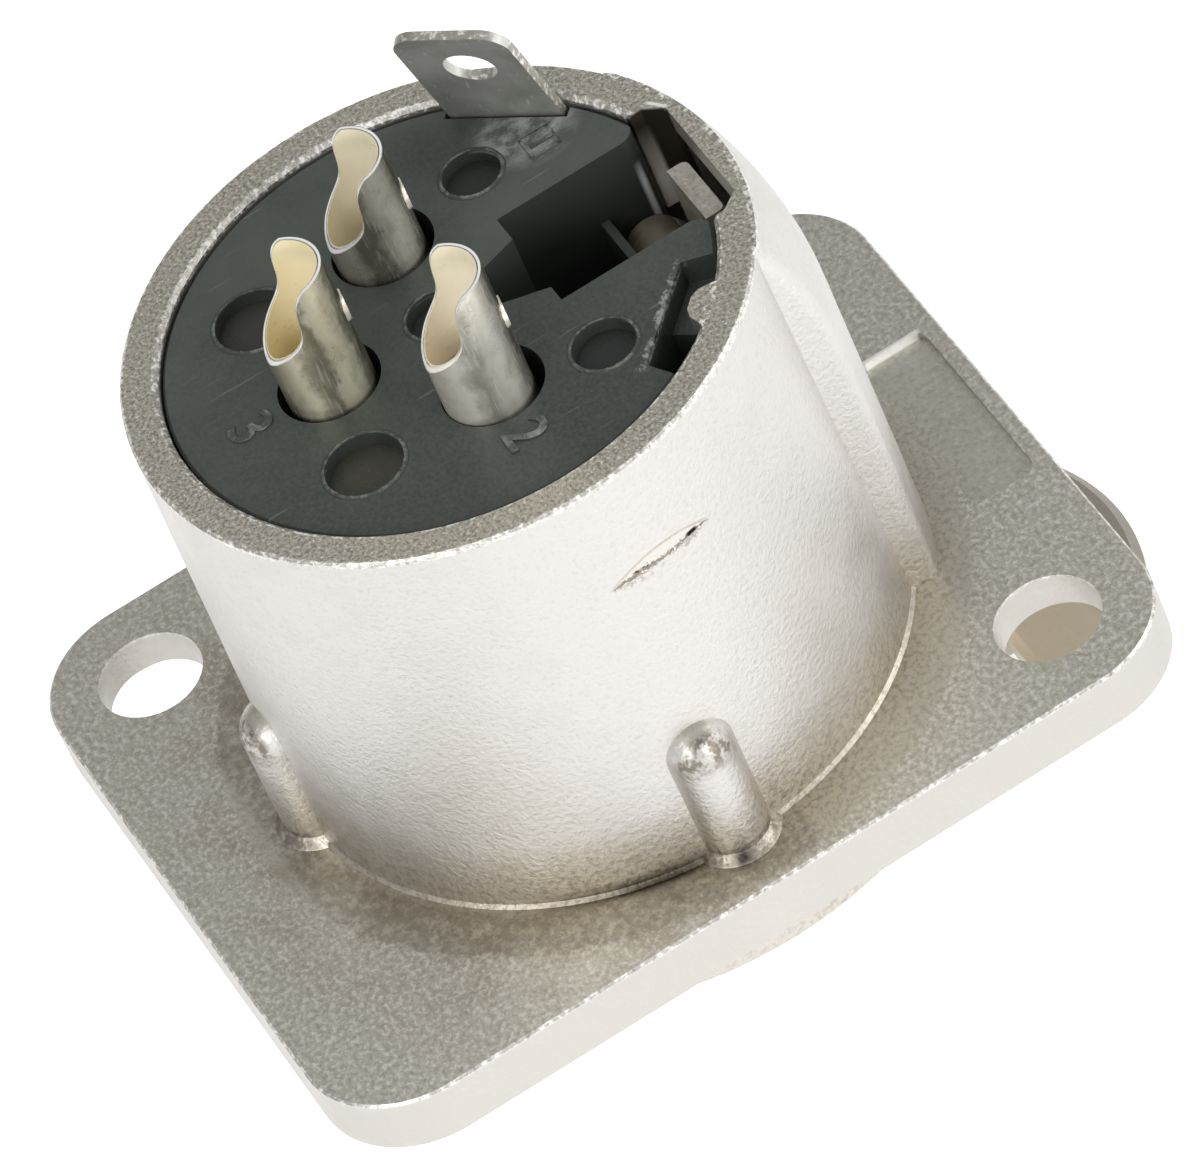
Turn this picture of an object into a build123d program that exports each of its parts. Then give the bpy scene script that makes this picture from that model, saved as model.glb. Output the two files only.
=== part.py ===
from build123d import *
import os
from math import cos, radians, sin

os.makedirs("parts", exist_ok=True)

# Millimetres. Origin on the barrel axis in the flange's back face,
# +Z to the solder side, +Y to the latch.

# Plug that the socket takes: outside and inside of its shell
plug_r = 9.5
plug_wall = 1.65
plug_clearance = 0.1
bore_r = plug_r + plug_clearance
nose_r = plug_r - plug_wall - plug_clearance

# Barrel and front collar
barrel_h = 16.25
rim_wall = 0.75
barrel_draft = 0.3
barrel_r_rim = bore_r + rim_wall
barrel_r_base = barrel_r_rim + barrel_draft
rim_lip = 0.5
rim_bore_r = bore_r - rim_lip
rim_bevel = 0.15
rim_edge = 0.08
step_z = 12.0
collar_r = barrel_r_base + 1.55
collar_h = 1.45
collar_edge = 0.15
join = 0.8
foot = 0.12

# Flange
flange_x = 26.0
flange_y = 31.0
flange_t = 2.15
flange_corner_r = 3.5
flange_edge = 0.08
hole_x = 9.5
hole_y = 12.0
hole_r = 1.8
sink_r = 2.6
panel_low_x = -4.5
panel_high_x = 3.6
panel_margin = 0.6
panel_y = 2.4
panel_depth = 0.25
collar_z = -flange_t - collar_h

# Locating pins on the barrel's side, each with a round end
pin_r = 1.2
pin_middle_r = barrel_r_base - 0.4
pin_straight = 4.3
pin_foot = 0.3

# Latch housing and the channel in it
housing_half_x = 5.3
housing_wall = 0.85
housing_r = barrel_r_base + housing_wall
housing_top_r = barrel_r_rim + 0.05
housing_bend_z = barrel_h - 5.25
housing_corner_r = 0.6
recess_half_x = 2.93
recess_y = barrel_r_rim - 0.65
recess_cut_x = 0.53
recess_cut_y = 0.65
channel_half_x = 2.35
channel_y = housing_r - 0.55

# Key rib in the rim, and the pocket for it in the insert
key_angle = 48.3
key_w = 1.76
key_tip_w = 0.5
key_in = 0.62
pocket_angle = 47.0
pocket_in = 1.52
pocket_half = 2.1
pocket_flare = 0.5
pocket_depth = 1.0
pocket_deep = 3.4

# Lever
pivot_y = channel_y - 1.25
pivot_z = 10.0
trunnion_r = 0.6
trunnion_half_x = 3.85
pivot_clearance = 0.08
hub_r = 0.9
arm_half_x = 2.1
arm_y_in = bore_r + 0.05
arm_t = 0.55
hook_half_x = 1.9
hook_reach = 0.43
hook_z = 4.2
hook_flat = 1.0
hook_ramp = 2.6
block_half_x = 1.38
block_t = 0.7
block_corner_r = 0.24
block_y_in = recess_y - 0.28 - block_t
block_z = 14.85
tab_r = 7.9
tab_y = 9.75
tab_half_x = 5.6
tab_corner_r = 1.0
tab_edge_y = collar_r - 0.15
tab_z = collar_z - 3.4
tab_t = 1.3
tab_edge = 0.3

# Insert and its nose
insert_top = 16.0
disc_r = rim_bore_r - 0.08
disc_edge = 0.1
ring_h = 2.5
ring_clearance = 0.1
insert_low = step_z - ring_h
nose_edge = 0.5
keyway_half_x = 1.3
keyway_depth = 1.0
window_half_x = 2.3
window_y = 3.35
window_corner_r = 0.6
notch_x = 0.2
notch_half_x = 1.4
notch_narrow = 0.6
notch_y = 1.7
notch_depth = 4.0
cavity_z = 8.0
web_y = nose_r - 1.45
web_t = 0.3
web_top = 13.5
floor_t = 0.4
mark_depth = 0.45
marks = [(-4.1, -4.65, 1.28), (4.0, -4.67, 1.28), (-4.7, 3.65, 0.97), (5.0, 3.5, 1.05), (0.0, 0.0, 1.0)]

# Contacts
contact_r = 1.45
contact_pitch = 3.95
contact_play = [-0.12, -0.2, 0.0]
contact_hole_r = contact_r + 0.25
socket_r = 1.22
socket_depth = 10.0
mouth_edge = 0.3
contact_top = 21.1
contact_length = 21.7
first_mate = 1.0
contact_cover = 1.4
nose_z = contact_top - contact_length - first_mate - contact_cover
cup_r = contact_r - 0.17
cup_depth = 4.4
cup_turn = -9.5
peep_r = 0.45
peep_down = 2.4

# Ground tab
lug_angle = 137.3
lug_w = 3.9
lug_t = 0.32
lug_seat = rim_bore_r - 0.35
lug_lean = 17.0
lug_rise = 5.65
lug_hole_r = 0.86
lug_hole_up = 3.65
lug_hole_x = 0.15
lug_corner_r = 0.9
lug_room = 0.15

# Latch spring
spring_half_x = 2.1
spring_t = 0.25
spring_gap = 0.05
spring_drop = 0.6
spring_bend_r = 0.93


standing = (Align.CENTER, Align.CENTER, Align.MIN)


def yz_prism(points, half_x):
    # Extrudes an outline given as (y, z) to both sides of the YZ plane.
    face = make_face(Polyline(*[(0, y, z) for y, z in points], close=True))
    return extrude(face, half_x, dir=(1, 0, 0), both=True)


def rz_ring(points):
    # Turns an outline given as (r, z) about the barrel axis.
    face = make_face(Polyline(*[(r, 0, z) for r, z in points], close=True))
    return revolve(face, Axis.Z)


def block(x0, x1, y0, y1, z0, z1):
    low = Pos(x0, y0, z0)
    return low * Box(x1 - x0, y1 - y0, z1 - z0, align=(Align.MIN, Align.MIN, Align.MIN))


def rod(r, x, y, z0, z1):
    return Pos(x, y, z0) * Cylinder(r, z1 - z0, align=standing)


def x_rod(r, y, z, half_x):
    return Pos(0, y, z) * Rot(0, 90, 0) * Cylinder(r, 2 * half_x)


def flange():
    plate = extrude(RectangleRounded(flange_x, flange_y, flange_corner_r), -flange_t)
    rims = plate.faces().filter_by(Axis.Z).edges()
    plate = chamfer(rims, flange_edge)
    pocket_top = flange_y / 2 - panel_margin
    pocket = block(panel_low_x, panel_high_x, pocket_top - panel_y, pocket_top, -panel_depth, 1)
    plate -= fillet(pocket.edges().filter_by(Axis.Z), 0.5)
    sink = sink_r - hole_r
    for side in (-1, 1):
        hole = rod(hole_r, 0, 0, -flange_t - 1, 1)
        cone = Pos(0, 0, -flange_t) * Cone(sink_r, hole_r, sink, align=standing)
        plate -= Pos(side * hole_x, side * hole_y, 0) * (hole + cone)
    return plate


def barrel():
    bevel_z = barrel_h - rim_bevel
    return rz_ring([
        (bore_r, collar_z),
        (collar_r - collar_edge, collar_z),
        (collar_r, collar_z + collar_edge),
        (collar_r, -join),
        (barrel_r_base + foot, -join),
        (barrel_r_base + foot, 0),
        (barrel_r_base, foot),
        (barrel_r_rim, barrel_h - rim_edge),
        (barrel_r_rim - rim_edge, barrel_h),
        (rim_bore_r + rim_bevel, barrel_h),
        (rim_bore_r, bevel_z),
        (rim_bore_r, step_z),
        (bore_r, step_z),
    ])


def pin(angle):
    body = rod(pin_r, pin_middle_r, 0, -join, pin_straight)
    body += Pos(pin_middle_r, 0, pin_straight) * Sphere(pin_r)
    body += Pos(pin_middle_r, 0, 0) * Cone(pin_r + pin_foot, pin_r, pin_foot, align=standing)
    return Rot(0, 0, angle) * body


def housing():
    inside = bore_r + 0.2
    low = Polyline(
        (housing_top_r, 0, barrel_h),
        (inside, 0, barrel_h),
        (inside, 0, -join),
        (housing_r, 0, -join),
        (housing_r, 0, housing_bend_z),
    )
    crown = TangentArc((housing_r, 0, housing_bend_z), (housing_top_r, 0, barrel_h), tangent=(0, 0, 1))
    body = revolve(make_face([low, crown]), Axis.Z)
    body &= block(-housing_half_x, housing_half_x, 1, housing_r + 1, -join, barrel_h)
    sides = [e for e in body.edges() if abs(abs(e.center().X) - housing_half_x) < 0.01]
    corners = [e for e in sides if e.center().Y > bore_r - 0.1]
    return fillet(corners, housing_corner_r)


def latch_channel():
    # The recess in the rim, the room behind it and the way out through flange and collar.
    near_y = rim_bore_r - 1.5
    rim_cut = Polyline(
        (-recess_half_x, near_y),
        (-recess_half_x, recess_y - recess_cut_y),
        (-recess_half_x + recess_cut_x, recess_y),
        (recess_half_x - recess_cut_x, recess_y),
        (recess_half_x, recess_y - recess_cut_y),
        (recess_half_x, near_y),
        close=True,
    )
    top = Pos(0, 0, step_z) * extrude(make_face(rim_cut), barrel_h)
    low_z = pivot_z - hub_r - 0.5
    room = yz_prism([
        (near_y, low_z),
        (channel_y, low_z),
        (channel_y, pivot_z + hub_r),
        (recess_y, block_z + 0.4),
        (near_y, block_z + 0.4),
    ], recess_half_x - recess_cut_x)
    lower = yz_prism([
        (near_y, low_z + 0.1),
        (channel_y, low_z + 0.1),
        (channel_y, -0.3),
        (channel_y + 0.5, -flange_t),
        (collar_r + 1, -flange_t),
        (collar_r + 1, collar_z - 1),
        (near_y, collar_z - 1),
    ], channel_half_x)
    groove_r = trunnion_r + pivot_clearance
    half_x = trunnion_half_x + 0.15
    groove = block(-half_x, half_x, near_y, pivot_y, pivot_z - groove_r, pivot_z + groove_r)
    groove += x_rod(groove_r, pivot_y, pivot_z, half_x)
    return top + room + lower + groove


def key_rib(extra=0.0):
    low_x = rim_bore_r - key_in - extra
    high_x = rim_bore_r + 0.5
    half_y = key_w / 2 + extra
    tip_y = key_tip_w / 2 + extra
    outline = Polyline(
        (low_x, -tip_y),
        (low_x, tip_y),
        (low_x + 0.25 * key_in, 0.5 * (half_y + tip_y)),
        (rim_bore_r, half_y),
        (high_x, half_y),
        (high_x, -half_y),
        (rim_bore_r, -half_y),
        (low_x + 0.25 * key_in, -0.5 * (half_y + tip_y)),
        close=True,
    )
    bar = extrude(make_face(outline), barrel_h - step_z)
    return Rot(0, 0, key_angle) * Pos(0, 0, step_z) * bar


def shell():
    body = flange() - rod(bore_r, 0, 0, -flange_t - 1, 1)
    body += barrel()
    for angle in (0, -90, 180):
        body += pin(angle)
    body += housing()
    body -= rod(bore_r, 0, 0, collar_z - 1, step_z)
    body += key_rib()
    return body - latch_channel()


def contact_places():
    return [
        (-contact_pitch, 0, -first_mate),
        (contact_pitch, 0, 0),
        (0, -contact_pitch, 0),
    ]


def lug_frame(z):
    # X across the lug, Y up, Z inward to the barrel axis.
    a = radians(lug_angle)
    return Plane(
        origin=(lug_seat * cos(a), lug_seat * sin(a), z),
        x_dir=(sin(a), -cos(a), 0),
        z_dir=(-cos(a), -sin(a), 0),
    )


def in_pocket_frame(points, low_z, height):
    # An outline given as (distance from the axis, distance along the rim) at the pocket's angle.
    face = make_face(Polyline(*points, close=True))
    return Rot(0, 0, pocket_angle) * Pos(0, 0, low_z) * extrude(face, height)


def key_pocket():
    near = rim_bore_r - pocket_in
    wide = pocket_half + pocket_flare
    outside = [(bore_r, -wide), (disc_r, -wide)]
    outline = [(near, -pocket_half), (near, pocket_half), (disc_r, wide), (bore_r, wide)] + outside
    deep = [(near, -pocket_half), (near, 0), (bore_r, 0)] + outside
    shallow_part = in_pocket_frame(outline, insert_top - pocket_depth, pocket_depth + 1)
    return shallow_part + in_pocket_frame(deep, insert_top - pocket_deep, pocket_deep + 1)


def contact_holes():
    cuts = []
    for x, y, lower in contact_places():
        seat = contact_top - contact_length + lower
        cuts.append(rod(contact_hole_r, x, y, seat, insert_top + 1))
        cuts.append(rod(contact_r, x, y, nose_z - 1, seat + 0.1))
        edge = Cone(contact_r + mouth_edge, contact_r, mouth_edge, align=standing)
        cuts.append(Pos(x, y, nose_z) * edge)
    return cuts


def notch():
    # The narrowing end of the window, nearer to the middle.
    near = notch_half_x - notch_narrow
    far_y = window_y + 0.1
    points = [
        (notch_x - near, notch_y),
        (notch_x - notch_half_x, far_y),
        (notch_x + notch_half_x, far_y),
        (notch_x + near, notch_y),
    ]
    face = make_face(Polyline(*points, close=True))
    return Pos(0, 0, insert_top - notch_depth) * extrude(face, notch_depth + 1)


def insert():
    disc = rod(disc_r, 0, 0, step_z, insert_top)
    disc = chamfer(disc.edges().sort_by(Axis.Z)[-1], disc_edge)
    disc -= block(-window_half_x, window_half_x, web_y, bore_r, step_z - 1, insert_top + 1)
    corners = disc.edges().filter_by(Axis.Z).sort_by(Axis.Y)[-2:]
    disc = fillet(corners, window_corner_r)
    disc += block(-window_half_x - 0.1, window_half_x + 0.1, web_y - 0.1, web_y + web_t, step_z, web_top)
    body = disc + rod(bore_r - ring_clearance, 0, 0, insert_low, step_z)
    over = insert_top + 1
    wall_y = web_y + web_t
    body -= block(-window_half_x, window_half_x, window_y, web_y, insert_low - 1, over)
    body -= block(-window_half_x, window_half_x, web_y - 0.1, wall_y, web_top, over)
    body -= block(-window_half_x, window_half_x, wall_y, bore_r + 1, insert_low + floor_t, over)
    body -= notch()
    side_x = trunnion_half_x + 0.4
    near_y = pivot_y - hub_r - 0.35
    body -= block(-side_x, side_x, near_y, bore_r + 1, insert_low - 1, step_z)
    body -= key_rib(ring_clearance)
    body -= key_pocket()
    slot_size = (lug_w + 2 * lug_room, 3 * barrel_h, 2 * (lug_t + lug_room))
    slot = Box(*slot_size, align=(Align.CENTER, Align.MIN, Align.CENTER))
    body -= lug_frame(insert_low + floor_t) * slot
    for x, y, r in marks:
        body -= rod(r, x, y, insert_top - mark_depth, over)
    return body - contact_holes()


def insert_nose():
    body = rod(nose_r, 0, 0, nose_z, insert_low)
    body = chamfer(body.edges().sort_by(Axis.Z)[0], nose_edge)
    body -= block(-window_half_x, window_half_x, window_y, web_y, cavity_z, insert_low + 1)
    keyway_y = nose_r - keyway_depth
    body -= block(-keyway_half_x, keyway_half_x, keyway_y, nose_r + 1, nose_z - 1, insert_low + 1)
    return body - contact_holes()


def cup_cut():
    # Side view of the mouth of a solder cup: s is the distance behind the contact's axis.
    top = contact_top + 0.05
    low = contact_top - 3.2
    side = Spline(
        (-contact_r, low),
        (-0.8, contact_top - 2.45),
        (-0.19, contact_top - 1.83),
        (-0.04, contact_top - 1.1),
        (0.08, contact_top - 0.45),
        (0.6, top),
    )
    front = -contact_r - 1
    back = Polyline((0.6, top), (front, top), (front, low), (-contact_r, low))
    return side, back


def contact(x, y, lower):
    low = contact_top - contact_length
    body = rod(contact_r, 0, 0, low, contact_top)
    body -= rod(socket_r, 0, 0, low - 1, low + socket_depth)
    body -= rod(cup_r, 0, 0, contact_top - cup_depth, contact_top + 1)
    side, back = cup_cut()
    face = Plane.YZ * make_face([side, back])
    cutter = extrude(face, contact_r + 1, dir=(1, 0, 0), both=True)
    body -= Rot(0, 0, cup_turn) * cutter
    peep = Pos(0, contact_r, contact_top - peep_down) * Rot(90, 0, 0) * Cylinder(peep_r, contact_r)
    body -= Rot(0, 0, cup_turn) * peep
    return Pos(x, y, lower) * body


def ground_tab():
    bend_z = insert_top - 0.1
    foot = lug_frame(insert_low + floor_t)
    lean = radians(lug_lean)
    height = bend_z - foot.origin.Z
    up_y = lug_rise * cos(lean)
    in_z = lug_rise * sin(lean)
    outline = Polyline(
        (0, 0, 0),
        (0, height, 0),
        (0, height + up_y, in_z),
        (0, height + up_y - lug_t * sin(lean), in_z + lug_t * cos(lean)),
        (0, height - lug_t * sin(lean / 2), lug_t),
        (0, 0, lug_t),
        close=True,
    )
    strip = extrude(make_face(outline), lug_w / 2, dir=(1, 0, 0), both=True)
    top = strip.edges().filter_by(Axis.Z, tolerance=30).sort_by(Axis.Y)[-2:]
    strip = fillet(top, lug_corner_r)
    hole = Pos(0, height, 0) * Rot(lug_lean, 0, 0) * Pos(lug_hole_x, lug_hole_up, 0) * Cylinder(lug_hole_r, 4)
    return foot * (strip - hole)


def latch_lever():
    tab_low = tab_z - tab_t
    arm_y_out = arm_y_in + arm_t
    arm = yz_prism([
        (arm_y_in, pivot_z - hub_r),
        (arm_y_in, collar_z),
        (tab_edge_y - 1.6, tab_low),
        (tab_edge_y + 0.5, tab_low),
        (tab_edge_y + 0.5, tab_z),
        (arm_y_out, collar_z + 0.6),
        (arm_y_out, pivot_z - hub_r),
    ], arm_half_x)
    hub = x_rod(hub_r, pivot_y, pivot_z, arm_half_x)
    neck = yz_prism([
        (arm_y_in, pivot_z - hub_r - 0.1),
        (pivot_y - hub_r, pivot_z),
        (pivot_y, pivot_z + 0.1),
        (pivot_y + hub_r, pivot_z),
        (arm_y_out, pivot_z - hub_r - 0.1),
    ], arm_half_x)
    upper = yz_prism([
        (pivot_y - hub_r + 0.1, pivot_z),
        (block_y_in, pivot_z + 2.5),
        (block_y_in, block_z),
        (block_y_in + block_t, block_z),
        (pivot_y + hub_r - 0.1, pivot_z),
    ], block_half_x)
    outer_edges = upper.edges().filter_by(Axis.X, reverse=True).sort_by(Axis.Y)[-2:]
    upper = fillet(outer_edges, block_corner_r)
    tip_y = arm_y_in - hook_reach
    hook = yz_prism([
        (arm_y_in + 0.2, hook_z - hook_flat - hook_ramp),
        (arm_y_in, hook_z - hook_flat - hook_ramp),
        (tip_y, hook_z - hook_flat),
        (tip_y, hook_z),
        (arm_y_in + 0.2, hook_z),
    ], hook_half_x)
    outer_half = Rectangle(2 * tab_half_x, 2 * tab_r, align=(Align.CENTER, Align.MIN))
    disc = Pos(0, tab_y) * Circle(tab_r) & Pos(0, tab_edge_y) * outer_half
    tab = Pos(0, 0, tab_low) * extrude(disc, tab_t)
    ends = tab.edges().filter_by(Axis.Z).sort_by(Axis.Y)[-2:]
    tab = fillet(ends, tab_corner_r)
    tab = chamfer(tab.faces().filter_by(Axis.Z).edges(), tab_edge)
    body = arm + neck + hub + upper + hook + tab
    return body + x_rod(trunnion_r, pivot_y, pivot_z, trunnion_half_x)


def latch_spring():
    low_z = insert_low + floor_t
    inner_y = web_y + web_t + spring_gap
    tip_y = pivot_y - hub_r - 0.2
    r_out = spring_bend_r
    bend_z = web_top - spring_drop - r_out
    mid_y = inner_y + r_out
    r_in = r_out - spring_t
    outer = [
        Line((0, inner_y, low_z), (0, inner_y, bend_z)),
        ThreePointArc((0, inner_y, bend_z), (0, mid_y, bend_z + r_out), (0, mid_y + r_out, bend_z)),
        Line((0, mid_y + r_out, bend_z), (0, tip_y, pivot_z + 1.3)),
        Line((0, tip_y, pivot_z + 1.3), (0, tip_y - spring_t, pivot_z + 1.2)),
        Line((0, tip_y - spring_t, pivot_z + 1.2), (0, mid_y + r_in, bend_z)),
        ThreePointArc((0, mid_y + r_in, bend_z), (0, mid_y, bend_z + r_in), (0, mid_y - r_in, bend_z)),
        Line((0, mid_y - r_in, bend_z), (0, mid_y - r_in, low_z)),
        Line((0, mid_y - r_in, low_z), (0, inner_y, low_z)),
    ]
    return extrude(make_face(outer), spring_half_x, dir=(1, 0, 0), both=True)


parts = {
    "shell": shell(),
    "insert": insert(),
    "insert_nose": insert_nose(),
    "ground_tab": ground_tab(),
    "latch_lever": latch_lever(),
    "latch_spring": latch_spring(),
}
for number, (x, y, lower) in enumerate(contact_places()):
    parts["contact_" + str(number + 1)] = contact(x, y + contact_play[number], lower)

for name, solid in parts.items():
    export_step(solid, "parts/" + name + ".step")
    print(name, len(solid.solids()), round(solid.volume, 1))
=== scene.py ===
import math

import bpy
from mathutils import Matrix, Vector


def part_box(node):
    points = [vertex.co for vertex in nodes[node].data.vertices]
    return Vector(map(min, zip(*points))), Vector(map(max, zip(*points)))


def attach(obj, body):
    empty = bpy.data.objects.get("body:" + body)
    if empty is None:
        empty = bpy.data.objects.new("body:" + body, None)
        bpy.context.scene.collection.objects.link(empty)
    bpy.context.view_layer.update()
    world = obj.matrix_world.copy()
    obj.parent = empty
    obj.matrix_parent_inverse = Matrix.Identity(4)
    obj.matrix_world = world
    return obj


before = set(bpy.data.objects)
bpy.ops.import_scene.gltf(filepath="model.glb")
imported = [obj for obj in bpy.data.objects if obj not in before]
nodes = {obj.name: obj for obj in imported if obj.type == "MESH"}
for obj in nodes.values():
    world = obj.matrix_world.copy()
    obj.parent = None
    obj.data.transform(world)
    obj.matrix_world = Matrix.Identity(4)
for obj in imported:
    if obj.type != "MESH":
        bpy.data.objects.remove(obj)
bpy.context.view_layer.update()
mm = 0.001
print("frame loaded:", len(nodes), "nodes")


def linear(hexColour):
    # sRGB hex to the linear values that a socket takes
    out = []
    for i in (1, 3, 5):
        c = int(hexColour[i:i + 2], 16) / 255
        out.append(c / 12.92 if c <= 0.04045 else ((c + 0.055) / 1.055) ** 2.4)
    return (*out, 1.0)


def perSize(sizeMm):
    # pattern scale that gives spots of this size
    return 1 / (sizeMm * mm)


def addNode(tree, kind, links=None, values=None, out=0, **settings):
    # one node: its settings, what feeds it, its values; gives back the output asked for
    node = tree.nodes.new("ShaderNode" + kind)
    for key, value in settings.items():
        setattr(node, key, value)
    for socket, source in (links or {}).items():
        tree.links.new(source, node.inputs[socket])
    for socket, value in (values or {}).items():
        node.inputs[socket].default_value = value
    return node.outputs if out is None else node.outputs[out]


def newMaterial(name, metallic, roughness):
    # an empty material with its shader, and the place on the object that patterns read
    material = bpy.data.materials.new(name)
    material.use_nodes = True
    tree = material.node_tree
    tree.nodes.clear()
    surface = addNode(tree, "BsdfPrincipled", values={"Metallic": metallic, "Roughness": roughness})
    addNode(tree, "OutputMaterial", {"Surface": surface}, out=None)
    place = addNode(tree, "TexCoord", out="Object")
    return material, tree, surface.node, place


def allOf(tree, *masks, operation="MULTIPLY"):
    # 1 where every mask is 1
    result = masks[0]
    for mask in masks[1:]:
        result = addNode(tree, "Math", {0: result, 1: mask}, operation=operation)
    return result


def anyOf(tree, *masks):
    # 1 where at least one mask is 1
    return allOf(tree, *masks, operation="MAXIMUM")


def inside(tree, source, low, high, soft):
    # 1 where low < source < high, with soft borders; all in mm
    rise = addNode(tree, "MapRange", {"Value": source},
                   {"From Min": (low - soft) * mm, "From Max": (low + soft) * mm})
    fall = addNode(tree, "MapRange", {"Value": source},
                   {"From Min": (high + soft) * mm, "From Max": (high - soft) * mm})
    return allOf(tree, rise, fall)


def spot(tree, at, limits, *masks):
    # 1 where each named source in at lies inside its limits, and the masks are 1 too
    return allOf(tree, *masks, *[inside(tree, at[key], *limits[key]) for key in limits])


def coats(tree, base, *layers):
    # lays colours over a base one by one, each where its mask is 1
    colour = base
    for mask, hexColour in layers:
        links = {0: mask}
        values = {7: linear(hexColour)}
        if isinstance(colour, str):
            values[6] = linear(colour)
        else:
            links[6] = colour
        colour = addNode(tree, "Mix", links, values, out=2, data_type="RGBA")
    return colour


def relief(tree, shader, *heights):
    # heights: pairs of source and depth in mm, added up to one surface
    total = None
    for source, depth in heights:
        links = {0: source} if total is None else {0: source, 2: total}
        total = addNode(tree, "Math", links, {1: depth, 2: 0.0}, operation="MULTIPLY_ADD")
    bump = addNode(tree, "Bump", {"Height": total}, {"Strength": 1.0, "Distance": mm})
    tree.links.new(bump, shader.inputs["Normal"])


def upFacing(tree, low=0.6, high=0.95):
    # 1 on faces that look toward the solder cups
    normal = addNode(tree, "NewGeometry", out="True Normal")
    turned = addNode(tree, "VectorTransform", {0: normal}, convert_from="WORLD", convert_to="OBJECT")
    height = addNode(tree, "SeparateXYZ", {0: turned}, out=2)
    return addNode(tree, "MapRange", {"Value": height}, {"From Min": low, "From Max": high})


def fromAxis(tree, place, centre=(0, 0)):
    # distance from an axis along Z
    flat = addNode(tree, "Mapping", {"Vector": place},
                   {"Location": (-centre[0] * mm, -centre[1] * mm, 0), "Scale": (1, 1, 0)})
    return addNode(tree, "VectorMath", {0: flat}, out="Value", operation="LENGTH")


def dress(name, material):
    nodes[name].data.materials.clear()
    nodes[name].data.materials.append(material)


# shell: zinc alloy, pressure die cast, sand blasted, thin satin nickel
shell = {
    "side": "#D6D3CF",
    "flat": "#D0CDC1",
    "rim": "#CDC8BA",
    "hollow": "#AFA99D",
    "speck": "#FBFAF6",
    # dark grey: soot, pores and gaps, and painted shade round the dent
    "sootAndShade": "#7E786B",
    "warm": "#C3B8A4",
    "stain": "#9C917E",
    "flangeSide": "#CBC8C2",
    # painted shade, in the crease at the barrel's foot and in the stake mark's pits
    "crease": "#423B30",
    "cut": "#D9D6D0",
    # painted shade along the stake cut's upper edge
    "cutLine": "#C2B8A6",
    "torn": "#8F8677",
    # painted shade: the dent's core and the stake mark's hole
    "black": "#14120F",
    # painted highlight on a strip of the latch recess's left wall
    "recessWallHighlight": "#FFFAEC",
    "recessShade": "#5A5348",
    "metallic": 0.9,
    "powder": 0.2,  # metallic of loose bright grains
    "roughness": (0.37, 0.48),
    # spots of the patterns, in mm
    "pebbleMm": 0.1875,
    "sandMm": 0.2,
    "gritMm": 0.13,
    "crumbMm": 0.2,
    "lumpMm": 0.36,
    "tearMm": 0.36,
    "patchMm": 1.6,
    "cloudMm": 7.0,
    # depths of the relief, in mm
    "pebbleDeep": 0.028,
    "sandDeep": 0.018,
    "gritDeep": 0.035,
    "lumpDeep": 0.025,
    "patchDeep": 0.012,
    "tornDeep": 0.03,
    # how each tint thins out, in mm: from where there is none to where it is full
    "footZ": (2.9, -0.2),
    "footR": (13.5, 10.7),
    "stainR": (17, 11.5),
    "stainY": (2, -3),
    "recessLightZ": (15.6, 13.2),
    # where each thing is, in mm: from, to, softness of the borders; r is the distance from the axis
    "flangeSideAt": {"z": (-4, -0.1, 0.1), "r": (12.8, 30, 0.3)},
    "panelEndAt": {"x": (-4.6, -4.4, 0.03), "y": (12.4, 14.8, 0.1), "z": (-0.3, 0.1, 0.02)},
    "rimFaceAt": {"z": (16.1, 17, 0.02)},
    "byPinAt": {"r": (10.95, 12.7, 0.1), "y": (-12, 2.0, 0.1)},
    "pinEndAt": {"z": (4.1, 6, 0.3)},
    "pinFootAt": {"z": (-0.01, 0.5, 0.05)},
    # painted shade in the crease at the barrel's foot
    "creaseAt": {"z": (-0.4, 0.3, 0.26), "r": (10.35, 10.95, 0.12),
                 "y": (-5.2, -0.6, 1.6), "x": (5.0, 12, 1.0)},
    "rimOutsideAt": {"r": (10.22, 10.45, 0.03), "z": (16.05, 17, 0.03)},
    "rimInsideAt": {"r": (9.0, 9.3, 0.03), "z": (16.0, 17, 0.03)},
    "flangeEdgeAt": {"z": (-0.11, -0.004, 0.01), "r": (12.6, 30, 0.1)},
    "recessAt": {"z": (11.5, 16.2, 0.03), "y": (7.2, 9.9, 0.05), "x": (-3.1, -2.3, 0.03)},
    "litStripAt": {"y": (8.5, 9.1, 0.06)},
    "litEdgeAt": {"z": (16.1, 17, 0.03), "sloped": (11.31, 11.46, 0.03), "x": (-3.05, -2.4, 0.06)},
    "recessSlope": -0.673,
    # the dent by a pin's foot, painted as shade: its middle, its halo and its black core
    "dent": (11.5, -0.39, 0.13),
    "dentHalo": (0.7, 0.2),
    "dentCore": (0.3, 0.12),
}

# stake mark on the barrel, in mm: u runs round the barrel from the mark's middle,
# under runs down from its curved upper edge, and above runs up from its straight lower edge
stake = {
    "barrelR": 10.42,
    "middle": 1.5,
    "top": 12.64,
    "low": 12.13,
    "bend": 0.145,  # mm of drop at 1 mm from the middle
    "ragged": 0.12,  # how far the torn edge wanders
    "outsideAt": {"r": (10.2, 10.9, 0.05)},
    "cutAt": {"under": (0.02, 2, 0.03), "above": (0.0, 2, 0.05)},
    "lineAt": {"under": (-0.05, 0.0, 0.03), "above": (0.02, 2, 0.06)},
    "tornAt": {"ragged": (-0.03, 0.1, 0.04), "under": (0.04, 2, 0.03)},
    "holeAt": {"u": (1.0, 1.38, 0.05), "above": (-0.02, 0.15, 0.03)},
    "skidAt": {"above": (-0.32, 0.02, 0.1), "u": (-1.5, 1.5, 0.25)},
}


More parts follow.
